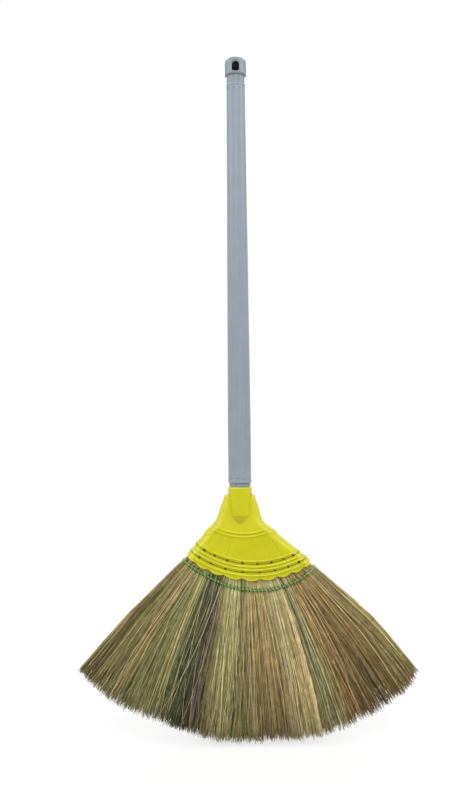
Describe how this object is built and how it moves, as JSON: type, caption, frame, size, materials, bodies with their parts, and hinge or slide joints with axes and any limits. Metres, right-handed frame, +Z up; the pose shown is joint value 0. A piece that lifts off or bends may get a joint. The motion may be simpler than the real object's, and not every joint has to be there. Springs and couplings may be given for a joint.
{
  "type": "broom",
  "caption": "Fan-shaped dried-grass broom: tufts sewn into a hollow moulded head that screws onto a tapered tube handle with a hang hole, for sweeping floors.",
  "frame": {"origin": "centre of the hang hole, on the handle's axis", "axes": "+Z up along the handle, +Y towards the back of the fan, +X across the fan to the right seen from the front"},
  "size_m": [0.43, 0.0416, 0.8552],
  "materials": {
    "handle": "satin moulded",
    "cap": "satin moulded",
    "tip": "satin moulded",
    "shell": "smooth moulded",
    "stitch_twine": "twisted",
    "binding_twine": "twisted",
    "grass": "dried stalks",
    "tie": "plain"
  },
  "bodies": {
    "handle": {"handle_tube": "handle", "hang_cap": "cap", "screw_tip": "tip"},
    "head": {"head_shell": "shell", "upper_stitch": "stitch_twine", "lower_stitch": "stitch_twine", "binding_cord": "binding_twine", "binding_loops": "binding_twine", "grass_tuft_1": "grass", "grass_tuft_2": "grass", "grass_tuft_3": "grass", "grass_tuft_4": "grass", "grass_tuft_5": "grass", "grass_tuft_6": "grass", "grass_tuft_7": "grass", "grass_tuft_8": "grass", "grass_tuft_9": "grass", "tuft_tie_1": "tie", "tuft_tie_2": "tie", "tuft_tie_3": "tie", "tuft_tie_4": "tie", "tuft_tie_5": "tie", "tuft_tie_6": "tie", "tuft_tie_7": "tie", "tuft_tie_8": "tie", "tuft_tie_9": "tie"}
  },
  "joints": [
    {"name": "handle_screw", "type": "hinge", "parent": "handle", "child": "head", "pos_m": [0, 0, -0.5414], "axis": [0, 0, -1], "range_deg": [0, 810]}
  ]
}
